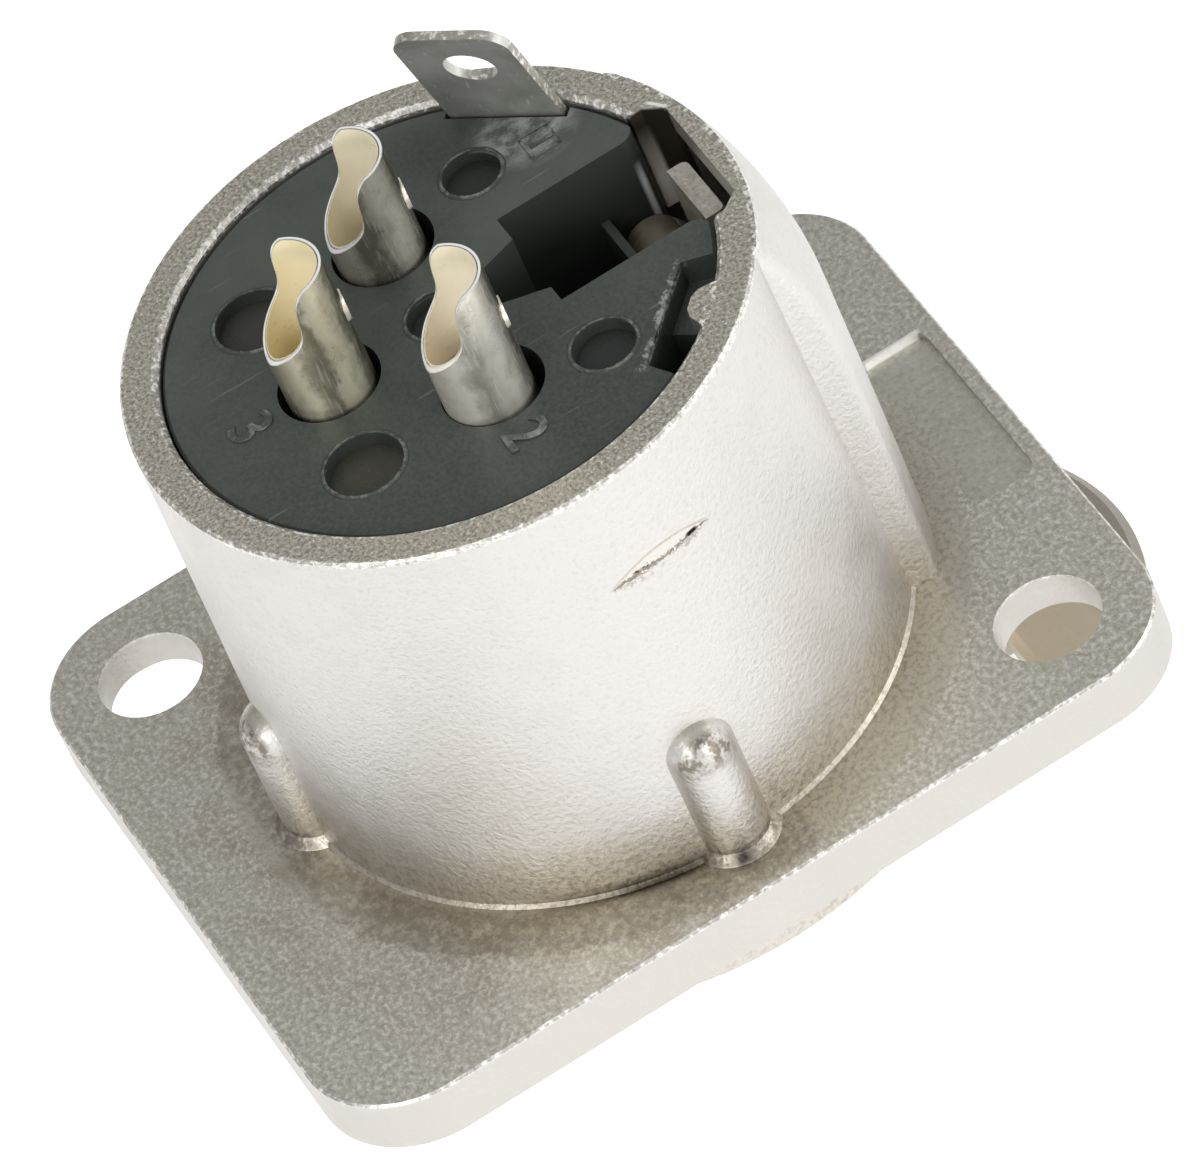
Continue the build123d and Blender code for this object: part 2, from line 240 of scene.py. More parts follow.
def stakeMark(tree, place, at):
    # a smooth crescent cut with a torn lower edge: its masks, from the cut to the painted glints on its torn
    # edge
    angle = addNode(tree, "Math", {0: at["y"], 1: at["x"]}, operation="ARCTAN2")
    along = addNode(tree, "Math", {0: angle}, {1: stake["barrelR"] * mm}, operation="MULTIPLY")
    u = addNode(tree, "Math", {0: along}, {1: stake["middle"] * mm}, operation="SUBTRACT")
    square = addNode(tree, "Math", {0: u, 1: u}, operation="MULTIPLY")
    drop = addNode(tree, "Math", {0: square}, {1: stake["bend"] / mm}, operation="MULTIPLY")
    crest = addNode(tree, "Math", {1: drop}, {0: stake["top"] * mm}, operation="SUBTRACT")
    under = addNode(tree, "Math", {0: crest, 1: at["z"]}, operation="SUBTRACT")
    above = addNode(tree, "Math", {0: at["z"]}, {1: stake["low"] * mm}, operation="SUBTRACT")
    tear = addNode(tree, "TexNoise", {"Vector": place},
                   {"Scale": perSize(shell["tearMm"]), "Detail": 3.0, "Roughness": 0.75})
    wander = addNode(tree, "MapRange", {"Value": tear},
                     {"From Min": 0.3, "From Max": 0.7,
                      "To Min": -stake["ragged"] * mm, "To Max": stake["ragged"] * mm})
    ragged = addNode(tree, "Math", {0: above, 1: wander}, operation="ADD")
    here = {"r": at["r"], "u": u, "under": under, "above": above, "ragged": ragged}
    outside = spot(tree, here, stake["outsideAt"])
    torn = spot(tree, here, stake["tornAt"], outside)
    bright = addNode(tree, "MapRange", {"Value": tear}, {"From Min": 0.58, "From Max": 0.64})
    deep = addNode(tree, "MapRange", {"Value": tear}, {"From Min": 0.46, "From Max": 0.38})
    # the tool skidded below the cut and left a scratched patch
    scratched = addNode(tree, "MapRange", {"Value": tear}, {"From Min": 0.5, "From Max": 0.42, "To Max": 0.6})
    # the line, the pits and the hole are painted shade, the shine painted glints
    return {
        "skid": spot(tree, here, stake["skidAt"], scratched, outside),
        "cut": spot(tree, here, stake["cutAt"], outside),
        "line": spot(tree, here, stake["lineAt"], outside),
        "torn": torn,
        "pits": allOf(tree, torn, deep),
        "shine": allOf(tree, torn, bright),
        "hole": spot(tree, here, stake["holeAt"], outside),
    }


def castZinc():
    # pale satin metal: a soft pebbled grain on the drawn sides, gritty and darker on the flats
    material, tree, shader, place = newMaterial("blasted zinc casting", shell["metallic"], 0.42)
    x, y, z = addNode(tree, "SeparateXYZ", {0: place}, out=None)
    at = {"x": x, "y": y, "z": z, "r": fromAxis(tree, place)}
    up = upFacing(tree)
    side = addNode(tree, "Math", {1: up}, {0: 1.0}, operation="SUBTRACT")
    pebble = addNode(tree, "TexNoise", {"Vector": place},
                     {"Scale": perSize(shell["pebbleMm"]), "Detail": 2.0, "Roughness": 0.6})
    sand = addNode(tree, "TexNoise", {"Vector": place},
                   {"Scale": perSize(shell["sandMm"]), "Detail": 3.0, "Roughness": 0.65})
    patch = addNode(tree, "TexNoise", {"Vector": place},
                    {"Scale": perSize(shell["patchMm"]), "Detail": 3.0, "Roughness": 0.6})
    cloud = addNode(tree, "TexNoise", {"Vector": place}, {"Scale": perSize(shell["cloudMm"]), "Detail": 2.0})
    lump = addNode(tree, "TexNoise", {"Vector": place},
                   {"Scale": perSize(shell["lumpMm"]), "Detail": 2.0, "Roughness": 0.7})
    grit = addNode(tree, "TexNoise", {"Vector": place},
                   {"Scale": perSize(shell["gritMm"]), "Detail": 2.0, "Roughness": 0.7})
    crumb = addNode(tree, "TexNoise", {"Vector": place},
                    {"Scale": perSize(shell["crumbMm"]), "Detail": 3.0, "Roughness": 0.7})

    # the drawn sides are even, with a faint darker net between the pebbles;
    # on the flats there are dark hollows and bright grains
    net = addNode(tree, "MapRange", {"Value": pebble}, {"From Min": 0.45, "From Max": 0.3, "To Max": 0.16})
    dark = addNode(tree, "MapRange", {"Value": sand}, {"From Min": 0.5, "From Max": 0.36, "To Max": 0.42})
    bright = addNode(tree, "MapRange", {"Value": sand}, {"From Min": 0.58, "From Max": 0.7, "To Max": 0.28})
    grains = allOf(tree, bright, up)
    colour = coats(
        tree, shell["side"],
        (up, shell["flat"]),
        (allOf(tree, net, side), shell["hollow"]),
        (allOf(tree, dark, up), shell["hollow"]),
        (grains, shell["speck"]),
    )

    # the surfaces turn warm grey, with dark spots, toward the foot of the barrel,
    # and brown handling stains spread over the flange before it
    fades = {}
    for key, source in (("footZ", z), ("footR", at["r"]), ("stainR", at["r"]), ("stainY", y)):
        start, full = shell[key]
        fades[key] = addNode(tree, "MapRange", {"Value": source},
                             {"From Min": start * mm, "From Max": full * mm})
    spread = addNode(tree, "MapRange", {"Value": cloud},
                     {"From Min": 0.3, "From Max": 0.7, "To Min": 0.3, "To Max": 0.95})
    nearFoot = allOf(tree, fades["footZ"], fades["footR"], spread)
    spots = addNode(tree, "MapRange", {"Value": sand}, {"From Min": 0.52, "From Max": 0.38, "To Max": 0.8})
    stain = addNode(tree, "MapRange", {"Value": patch}, {"From Min": 0.42, "From Max": 0.64, "To Max": 0.6})
    # painted highlight on the flange panel's end wall
    panelEndHighlight = spot(tree, at, shell["panelEndAt"])
    colour = coats(
        tree, colour,
        (nearFoot, shell["warm"]),
        (allOf(tree, nearFoot, spots), shell["sootAndShade"]),
        (allOf(tree, fades["stainR"], stain, fades["stainY"], up), shell["stain"]),
        (spot(tree, at, shell["flangeSideAt"], side), shell["flangeSide"]),
        (panelEndHighlight, shell["speck"]),
    )

    # the rim's face was broken off the gate: coarser grains, deeper hollows
    rimFace = spot(tree, at, shell["rimFaceAt"], up)
    pores = addNode(tree, "MapRange", {"Value": grit}, {"From Min": 0.5, "From Max": 0.38, "To Max": 0.6})
    coarse = addNode(tree, "MapRange", {"Value": grit}, {"From Min": 0.57, "From Max": 0.68, "To Max": 0.85})
    # the round ends of the pins are darker and scuffed, and one foot has a deep dent, painted as shade
    byPin = spot(tree, at, shell["byPinAt"])
    pinEnd = spot(tree, at, shell["pinEndAt"], byPin)
    scuffed = addNode(tree, "MapRange", {"Value": lump},
                      {"From Min": 0.56, "From Max": 0.42, "To Min": 0.25, "To Max": 0.95})
    footDarkening = addNode(tree, "MapRange", {"Value": lump}, {"From Min": 0.62, "From Max": 0.46, "To Max": 0.7})
    fromDent = addNode(tree, "VectorMath", {0: place}, {1: [c * mm for c in shell["dent"]]},
                       out="Value", operation="DISTANCE")
    halo, core = [
        addNode(tree, "MapRange", {"Value": fromDent},
                {"From Min": start * mm, "From Max": full * mm, "To Max": strength})
        for (start, full), strength in ((shell["dentHalo"], 0.6), (shell["dentCore"], 0.8))
    ]
    # painted shade: beside the front pin the crease at the foot is dark
    creaseShadeNoise = addNode(tree, "MapRange", {"Value": sand}, {"From Min": 0.66, "From Max": 0.4, "To Min": 0.9})
    # bright crumbs along the rim's two edges and the flange's upper edge
    edges = anyOf(tree, spot(tree, at, shell["rimOutsideAt"]), spot(tree, at, shell["rimInsideAt"]),
                  spot(tree, at, shell["flangeEdgeAt"]))
    heaped = addNode(tree, "MapRange", {"Value": crumb}, {"From Min": 0.5, "From Max": 0.6})
    crumbs = allOf(tree, edges, heaped)
    gaps = addNode(tree, "MapRange", {"Value": crumb}, {"From Min": 0.42, "From Max": 0.32, "To Max": 0.5})
    mark = stakeMark(tree, place, at)
    colour = coats(
        tree, colour,
        (rimFace, shell["rim"]),
        (allOf(tree, pores, rimFace), shell["sootAndShade"]),
        (allOf(tree, coarse, rimFace), shell["speck"]),
        (allOf(tree, pinEnd, scuffed), shell["sootAndShade"]),
        # darker at the foot of the pins
        (spot(tree, at, shell["pinFootAt"], byPin, footDarkening), shell["sootAndShade"]),
        # painted shade of the dent: a dark halo and a black core
        (halo, shell["sootAndShade"]),
        (core, shell["black"]),
        (spot(tree, at, shell["creaseAt"], creaseShadeNoise), shell["crease"]),
        (allOf(tree, edges, gaps), shell["sootAndShade"]),
        (crumbs, shell["speck"]),
        (mark["skid"], shell["torn"]),
        (mark["cut"], shell["cut"]),
        # painted shade along the cut's upper edge, in the pits and in the hole; painted glints on the torn
        # edge
        (mark["line"], shell["cutLine"]),
        (mark["torn"], shell["torn"]),
        (mark["pits"], shell["crease"]),
        (mark["shine"], shell["speck"]),
        (mark["hole"], shell["black"]),
    )

    # walls of the latch recess in painted shade; a painted highlight on one strip of its left wall, brighter
    # lower down, and along the rim's edge beside it
    recess = spot(tree, at, shell["recessAt"], side)
    start, full = shell["recessLightZ"]
    lower = addNode(tree, "MapRange", {"Value": z}, {"From Min": start * mm, "From Max": full * mm})
    litStrip = spot(tree, at, shell["litStripAt"], recess, lower)
    at["sloped"] = addNode(tree, "Math", {0: x, 2: y}, {1: shell["recessSlope"]}, operation="MULTIPLY_ADD")
    litEdge = spot(tree, at, shell["litEdgeAt"])
    colour = coats(
        tree, colour,
        (recess, shell["recessShade"]),
        (litStrip, shell["recessWallHighlight"]),
        (litEdge, shell["speck"]),
    )
    tree.links.new(colour, shader.inputs["Base Color"])

    # grains that stand proud scatter like white metal powder; the painted highlights are matt too
    matt = anyOf(tree, grains, crumbs, mark["shine"], litStrip, panelEndHighlight, litEdge)
    metallic = addNode(tree, "MapRange", {"Value": matt},
                       {"To Min": shell["metallic"], "To Max": shell["powder"]})
    tree.links.new(metallic, shader.inputs["Metallic"])
    smooth, rough = shell["roughness"]
    roughness = addNode(tree, "MapRange", {"Value": patch},
                        {"From Min": 0.3, "From Max": 0.7, "To Min": smooth, "To Max": rough})
    tree.links.new(roughness, shader.inputs["Roughness"])
    outsideCut = addNode(tree, "MapRange", {"Value": mark["cut"]}, {"To Min": 1.0, "To Max": 0.1})
    relief(
        tree, shader,
        (allOf(tree, pebble, outsideCut, side), shell["pebbleDeep"]),
        (allOf(tree, sand, up), shell["sandDeep"]),
        (allOf(tree, grit, rimFace), shell["gritDeep"]),
        (allOf(tree, lump, anyOf(tree, rimFace, pinEnd)), shell["lumpDeep"]),
        (patch, shell["patchDeep"]),
        (mark["torn"], shell["tornDeep"]),
    )
    return material


dress("shell", castZinc())

# insert: black polyamide, moulded in a spark-eroded cavity
insert = {
    "base": "#343A36",
    "pale": "#595F59",
    "dust": "#B4B8B4",
    "brown": "#5A5442",
    "shade": "#363B37",
    # painted shade on the floors of the ejector marks
    "floor": "#2B312D",
    "scuff": "#9A9E98",
    # painted highlight on the window's corner
    "shine": "#EDF3F6",
    "grainMm": 0.14,
    "cloudMm": 4.0,
    "smearMm": 0.7,
    "tearMm": 0.3,
    "scratchMm": 0.2,
    "grainDeep": 0.014,
    "tearDeep": 0.006,
    "top": 16.0,
    # centre and radius of each ejector mark
    "marks": [(-4.1, -4.65, 1.28), (4.0, -4.67, 1.28), (-4.7, 3.65, 0.97), (5.0, 3.5, 1.05), (0.0, 0.0, 1.0)],
    # where each thing is, in mm: from, to, softness of the borders
    "topAt": {"z": (15.9, 17, 0.02)},
    "floorsAt": {"z": (15.4, 15.7, 0.03)},
    "cornerHighlightAt": {"y": (8.05, 8.45, 0.08), "x": (-2.42, -2.15, 0.04), "z": (12.2, 14.5, 0.5)},
    "tornAt": {"broken": (7.42, 7.75, 0.04), "along": (-2.35, 2.2, 0.1), "z": (15.8, 17, 0.06)},
    # how each tint comes in, in mm: from where there is none to where it is full
    "bloomX": (6.5, -3.0),
    "brownY": (-1.5, -4.0),
    "dustMiddle": (-5.3, 5.9),
    "dustR": (2.0, 0.9),
    "dustTurn": 40,
    "keyTurn": -47,
    "ragged": 0.16,
    "scratchTurn": 25,
}


def blackPolyamide():
    # dull black plastic, greyish where handling has polished or dusted it
    material, tree, shader, place = newMaterial("moulded black polyamide", 0.0, 0.45)
    x, y, z = addNode(tree, "SeparateXYZ", {0: place}, out=None)
    at = {"x": x, "y": y, "z": z}
    up = upFacing(tree)
    fine = addNode(tree, "TexNoise", {"Vector": place},
                   {"Scale": perSize(insert["grainMm"]), "Detail": 2.0, "Roughness": 0.7})
    cloud = addNode(tree, "TexNoise", {"Vector": place},
                    {"Scale": perSize(insert["cloudMm"]), "Detail": 4.0, "Roughness": 0.55})
    onTop = spot(tree, at, insert["topAt"])
    # a grey bloom in the middle and toward the ground tab, darker near the key
    start, full = insert["bloomX"]
    span = addNode(tree, "MapRange", {"Value": x},
                   {"From Min": start * mm, "From Max": full * mm, "To Min": 0.15, "To Max": 0.8})
    mottle = addNode(tree, "MapRange", {"Value": cloud},
                     {"From Min": 0.3, "From Max": 0.7, "To Min": 0.3, "To Max": 1.1})
    grains = addNode(tree, "MapRange", {"Value": fine}, {"From Min": 0.35, "From Max": 0.68, "To Max": 0.45})
    # floors of the ejector marks in painted shade, brownish toward -Y
    shadedFloors = spot(tree, at, insert["floorsAt"], up)
    start, full = insert["brownY"]
    brownish = addNode(tree, "MapRange", {"Value": y},
                       {"From Min": start * mm, "From Max": full * mm, "To Max": 0.22})
    # walls below the insert's back in painted shade
    walls = addNode(tree, "Math", {1: up}, {0: 1.0}, operation="SUBTRACT")
    # whitish dust by the foot of the ground tab
    start, full = insert["dustR"]
    dusty = addNode(tree, "MapRange", {"Value": fromAxis(tree, place, insert["dustMiddle"])},
                    {"From Min": start * mm, "From Max": full * mm, "To Max": 0.75})
    streak = addNode(tree, "Mapping", {"Vector": place},
                     {"Rotation": (0, 0, math.radians(insert["dustTurn"])), "Scale": (1, 0.7, 1)})
    smear = addNode(tree, "TexNoise", {"Vector": streak},
                    {"Scale": perSize(insert["smearMm"]), "Detail": 5.0, "Roughness": 0.75})
    smears = addNode(tree, "MapRange", {"Value": smear}, {"From Min": 0.42, "From Max": 0.6, "To Min": 0.08})
    # torn white edge of the key pocket
    keyed = addNode(tree, "Mapping", {"Vector": place},
                    {"Rotation": (0, 0, math.radians(insert["keyTurn"]))})
    outward, at["along"] = addNode(tree, "SeparateXYZ", {0: keyed}, out=None)[:2]
    tear = addNode(tree, "TexNoise", {"Vector": place},
                   {"Scale": perSize(insert["tearMm"]), "Detail": 4.0, "Roughness": 0.75})
    wander = addNode(tree, "MapRange", {"Value": tear},
                     {"From Min": 0.3, "From Max": 0.7,
                      "To Min": -insert["ragged"] * mm, "To Max": insert["ragged"] * mm})
    at["broken"] = addNode(tree, "Math", {0: outward, 1: wander}, operation="ADD")
    flakes = addNode(tree, "MapRange", {"Value": tear}, {"From Min": 0.44, "From Max": 0.6, "To Max": 0.95})
    # fine scratches
    drawn = addNode(tree, "Mapping", {"Vector": place},
                    {"Rotation": (0, 0, math.radians(insert["scratchTurn"])), "Scale": (1, 0.05, 1)})
    hair = addNode(tree, "TexNoise", {"Vector": drawn},
                   {"Scale": perSize(insert["scratchMm"]), "Detail": 1.0})
    scratches = addNode(tree, "MapRange", {"Value": hair},
                        {"From Min": 0.71, "From Max": 0.76, "To Max": 0.25})
    colour = coats(
        tree, insert["base"],
        (allOf(tree, span, mottle), insert["pale"]),
        (allOf(tree, grains, up), insert["pale"]),
        (shadedFloors, insert["floor"]),
        (allOf(tree, shadedFloors, brownish), insert["brown"]),
        (walls, insert["shade"]),
        (allOf(tree, dusty, smears, onTop), insert["dust"]),
        (spot(tree, at, insert["tornAt"], flakes), insert["scuff"]),
        # painted highlight on the window's rounded corner
        (spot(tree, at, insert["cornerHighlightAt"]), insert["shine"]),
        (allOf(tree, scratches, onTop), insert["scuff"]),
    )
    tree.links.new(colour, shader.inputs["Base Color"])
    roughness = addNode(tree, "MapRange", {"Value": fine},
                        {"From Min": 0.3, "From Max": 0.7, "To Min": 0.34, "To Max": 0.5})
    tree.links.new(roughness, shader.inputs["Roughness"])
    relief(tree, shader, (fine, insert["grainDeep"]), (tear, insert["tearDeep"]))
    return material


blackPlastic = blackPolyamide()
dress("insert", blackPlastic)
dress("insert_nose", blackPlastic)

# contacts: turned brass under thin silver, the cups tinned inside
contacts = {
    "axes": {"contact_1": (-3.95, -0.12), "contact_2": (3.95, -0.2), "contact_3": (0.0, -3.95)},
    "tops": {"contact_1": 20.1, "contact_2": 21.1, "contact_3": 21.1},
    "outside": {"contact_1": "#E6E4D4", "contact_2": "#FFFBEE", "contact_3": "#FFF9DC"},
    "inside": {"contact_1": "#FFF6DC", "contact_2": "#FFF6DF", "contact_3": "#FFF1C8"},
    "cupShade": "#DCD5B2",
    "tarnishAndDarkReflection": "#4E4C3A",
    "edge": "#FFFFFF",
    "scratch": "#FFFDF6",
    # painted reflections: degrees round the tube, 0 being +X, and how bright the tube is there
    "reflectionBands": {
        "contact_1": [(-100, 0.3), (-80, 0.35), (-60, 0.8), (-45, 1.0), (-28, 0.35), (-10, 0.25),
                      (6, 0.7), (21, 1.0), (38, 0.8), (50, 0.4), (64, 0.1), (100, 0.3)],
        "contact_2": [(-100, 0.4), (-80, 0.9), (-55, 1.0), (-37, 1.0), (-20, 0.65), (-8, 0.45),
                      (8, 0.8), (21, 1.0), (38, 0.7), (50, 0.3), (64, 0.05), (100, 0.3)],
        "contact_3": [(-100, 0.15), (-80, 0.3), (-60, 0.6), (-37, 1.0), (-20, 0.45), (-6, 0.25),
                      (8, 0.8), (21, 1.0), (36, 0.8), (48, 0.35), (64, 0.05), (100, 0.3)],
    },
    "reflectionBandEnds": 0.4,
    "sway": 0.9,  # how far the bands wander, in radians
    "metallic": 0.68,
    "cupMetallic": 0.02,
    "blotchMm": 1.3,
    "scratchMm": 0.08,
    "blotchDeep": 0.03,
    "scratchDeep": 0.004,
    "cupR": 1.28,
    "tubeR": 1.45,
    "cupDepth": 4.4,
    "lip": (0.07, 0.016, 0.012),  # in from the cup, in from the tube, softness
    "cupShadeDown": (0.8, 0.15, 0.3),  # below the top: from, to, softness
    "peepR": 0.45,
    "peepDown": 2.4,
    "peepTurn": 80.5,
}


def turnedBrass(name):
    # greyish silver tube with painted reflections in lengthwise bright and dark streaks; luminous cream
    # inside the cup
    material, tree, shader, place = newMaterial("silvered turned brass " + name[-1], 0.8, 0.3)
    centre = contacts["axes"][name]
    top = contacts["tops"][name]
    cupR = contacts["cupR"]
    z = addNode(tree, "SeparateXYZ", {0: place}, out=2)
    radius = fromAxis(tree, place, centre)
    blotch = addNode(tree, "TexNoise", {"Vector": place},
                     {"Scale": perSize(contacts["blotchMm"]), "Detail": 4.0, "Roughness": 0.65})
    tilted = addNode(tree, "Mapping", {"Vector": place}, {"Rotation": (0.5, 0.3, 0), "Scale": (1, 1, 0.08)})
    hair = addNode(tree, "TexNoise", {"Vector": tilted},
                   {"Scale": perSize(contacts["scratchMm"]), "Detail": 2.0})
    inCup = allOf(tree, inside(tree, radius, -1, cupR + 0.03, 0.01),
                  inside(tree, z, top - contacts["cupDepth"] + 0.05, top + 1, 0.05))
    onTube = addNode(tree, "Math", {1: inCup}, {0: 1.0}, operation="SUBTRACT")
    # painted reflections: bright and dark bands along the tube, fixed round its axis and swayed by the
    # blotches
    centred = addNode(tree, "Mapping", {"Vector": place}, {"Location": (-centre[0] * mm, -centre[1] * mm, 0)})
    x, y = addNode(tree, "SeparateXYZ", {0: centred}, out=None)[:2]
    angle = addNode(tree, "Math", {0: y, 1: x}, operation="ARCTAN2")
    sway = addNode(tree, "Math", {0: blotch}, {1: contacts["sway"]}, operation="MULTIPLY")
    swayed = addNode(tree, "Math", {0: angle, 1: sway}, operation="ADD")
    middle = 0.5 * contacts["sway"]
    turn = addNode(tree, "MapRange", {"Value": swayed},
                   {"From Min": -math.pi + middle, "From Max": math.pi + middle})
    reflectionBands = addNode(tree, "ValToRGB", {"Fac": turn})
    ramp = reflectionBands.node.color_ramp
    ramp.interpolation = "EASE"
    for degrees, level in contacts["reflectionBands"][name]:
        stop = ramp.elements.new((degrees + 180) / 360)
        stop.color = (level, level, level, 1)
    for stop in (ramp.elements[0], ramp.elements[-1]):
        stop.color = (*[contacts["reflectionBandEnds"]] * 3, 1)
    spots = addNode(tree, "MapRange", {"Value": blotch}, {"From Min": 0.52, "From Max": 0.75, "To Max": 0.25})
    scratches = addNode(tree, "MapRange", {"Value": hair},
                        {"From Min": 0.58, "From Max": 0.68, "To Max": 0.4})
    # the cup is creamy, duller and greener just under its upper lip
    low, high, soft = contacts["cupShadeDown"]
    under = allOf(tree, inCup, inside(tree, z, top - low, top - high, soft))
    shaded = addNode(tree, "Math", {0: under}, {1: 0.45}, operation="MULTIPLY")
    fromCup, fromTube, soft = contacts["lip"]
    lip = inside(tree, radius, cupR + fromCup, contacts["tubeR"] - fromTube, soft)
    colour = coats(
        tree, contacts["tarnishAndDarkReflection"],
        (reflectionBands, contacts["outside"][name]),
        (spots, contacts["tarnishAndDarkReflection"]),
        (allOf(tree, scratches, onTube), contacts["scratch"]),
        (inCup, contacts["inside"][name]),
        (shaded, contacts["cupShade"]),
        (lip, contacts["edge"]),
    )
    tree.links.new(colour, shader.inputs["Base Color"])
    metallic = addNode(tree, "MapRange", {"Value": anyOf(tree, inCup, lip)},
                       {"To Min": contacts["metallic"], "To Max": contacts["cupMetallic"]})
    tree.links.new(metallic, shader.inputs["Metallic"])
    roughness = addNode(tree, "MapRange", {"Value": blotch},
                        {"From Min": 0.3, "From Max": 0.7, "To Min": 0.25, "To Max": 0.36})
    tree.links.new(roughness, shader.inputs["Roughness"])
    relief(tree, shader, (allOf(tree, hair, onTube), contacts["scratchDeep"]),
           (allOf(tree, blotch, onTube), contacts["blotchDeep"]))
    return material


for name in contacts["axes"]:
    dress(name, turnedBrass(name))

# ground tab: tinned steel strip, sheared edges
groundTab = {
    "face": "#D2D3CD",
    "stain": "#9A9A92",
    "edge": "#A8A499",
    "crumb": "#FFFFFF",
    "scratch": "#F4F4F0",
    "turn": 137.3,
    "scratchTurn": 40,
    "shearedAt": (1.93, 3, 0.008),  # across the strip, from its middle line
    "stainMm": 2.4,
    "scratchMm": 0.16,
    "fineMm": 0.2,
    "fineDeep": 0.008,
}


def tinnedSteel():
    # dull grey strip, stained by handling, with white sheared edges
    material, tree, shader, place = newMaterial("tinned steel strip", 0.75, 0.48)
    turned = addNode(tree, "Mapping", {"Vector": place},
                     {"Rotation": (0, 0, math.radians(-groundTab["turn"]))})
    across = addNode(tree, "SeparateXYZ", {0: turned}, out=1)
    stain = addNode(tree, "TexNoise", {"Vector": place},
                    {"Scale": perSize(groundTab["stainMm"]), "Detail": 5.0, "Roughness": 0.6})
    drawn = addNode(tree, "Mapping", {"Vector": place},
                    {"Rotation": (0, 0, math.radians(groundTab["scratchTurn"])), "Scale": (1, 1, 0.1)})
    hair = addNode(tree, "TexNoise", {"Vector": drawn},
                   {"Scale": perSize(groundTab["scratchMm"]), "Detail": 2.0})
    fine = addNode(tree, "TexNoise", {"Vector": place},
                   {"Scale": perSize(groundTab["fineMm"]), "Detail": 3.0})
    stains = addNode(tree, "MapRange", {"Value": stain}, {"From Min": 0.38, "From Max": 0.72, "To Max": 0.8})
    scratches = addNode(tree, "MapRange", {"Value": hair}, {"From Min": 0.66, "From Max": 0.7, "To Max": 0.6})
    fromMiddle = addNode(tree, "Math", {0: across}, operation="ABSOLUTE")
    crumbs = addNode(tree, "MapRange", {"Value": fine}, {"From Min": 0.52, "From Max": 0.68, "To Max": 0.8})
    edges = anyOf(tree, inside(tree, fromMiddle, *groundTab["shearedAt"]), upFacing(tree))
    colour = coats(
        tree, groundTab["face"],
        (stains, groundTab["stain"]),
        (scratches, groundTab["scratch"]),
        (edges, groundTab["edge"]),
        (allOf(tree, crumbs, edges), groundTab["crumb"]),
    )
    tree.links.new(colour, shader.inputs["Base Color"])
    relief(tree, shader, (fine, groundTab["fineDeep"]))
    return material


dress("ground_tab", tinnedSteel())

# latch lever: the same alloy as the shell, barrel finished and duller
lever = {
    "base": "#DDD8CE",
    "rubbed": "#FBF6EA",
    # painted light and painted shade on the tab's back
    "behind": "#EDE1CB",
    "clear": "#A09D93",
    "grey": "#B5AEA0",
    "speck": "#F2EFE8",
    "metallic": 0.65,
    "rubbedMetallic": 0.15,
    "grainMm": 0.24,
    "cloudMm": 1.6,
    "grainDeep": 0.03,
    "tabZ": (0.0, -1.0),
    "paintedShadeY": (14.6, 15.8),
    "upFrom": (0.1, 0.35),  # height of the normal
}


def tumbledZinc():
    # fine matt grain, a little browner than the shell
    material, tree, shader, place = newMaterial("tumbled zinc lever", 0.6, 0.5)
    grain = addNode(tree, "TexNoise", {"Vector": place},
                    {"Scale": perSize(lever["grainMm"]), "Detail": 3.0, "Roughness": 0.7})
    cloud = addNode(tree, "TexNoise", {"Vector": place}, {"Scale": perSize(lever["cloudMm"]), "Detail": 3.0})
    grey = addNode(tree, "MapRange", {"Value": cloud}, {"From Min": 0.35, "From Max": 0.7, "To Max": 0.6})
    pores = addNode(tree, "MapRange", {"Value": grain}, {"From Min": 0.48, "From Max": 0.36, "To Max": 0.7})
    grains = addNode(tree, "MapRange", {"Value": grain}, {"From Min": 0.56, "From Max": 0.66, "To Max": 0.6})
    # the tab is rubbed paler in front; its back has painted light, brownish, and painted shade, grey, where
    # it clears the flange
    y, z = addNode(tree, "SeparateXYZ", {0: place}, out=None)[1:]
    up = upFacing(tree, *lever["upFrom"])
    front = addNode(tree, "Math", {1: up}, {0: 1.0}, operation="SUBTRACT")
    start, full = lever["tabZ"]
    onTab = addNode(tree, "MapRange", {"Value": z}, {"From Min": start * mm, "From Max": full * mm})
    start, full = lever["paintedShadeY"]
    clear = addNode(tree, "MapRange", {"Value": y},
                    {"From Min": start * mm, "From Max": full * mm, "To Max": 0.85})
    rubbed = allOf(tree, onTab, front)
    behind = allOf(tree, onTab, up)
    colour = coats(
        tree, lever["base"],
        (grey, lever["grey"]),
        (pores, lever["grey"]),
        (grains, lever["speck"]),
        (rubbed, lever["rubbed"]),
        (behind, lever["behind"]),
        (allOf(tree, behind, clear), lever["clear"]),
    )
    tree.links.new(colour, shader.inputs["Base Color"])
    metallic = addNode(tree, "MapRange", {"Value": rubbed},
                       {"To Min": lever["metallic"], "To Max": lever["rubbedMetallic"]})
    tree.links.new(metallic, shader.inputs["Metallic"])
    relief(tree, shader, (grain, lever["grainDeep"]))
    return material


dress("latch_lever", tumbledZinc())

# latch spring: rolled bronze strip
spring = {
    "base": "#8E8674",
    "dark": "#665F50",
    "line": "#B9B2A2",
    "cloudMm": 1.8,
    "lineMm": 0.2,
    "lineDeep": 0.004,
}


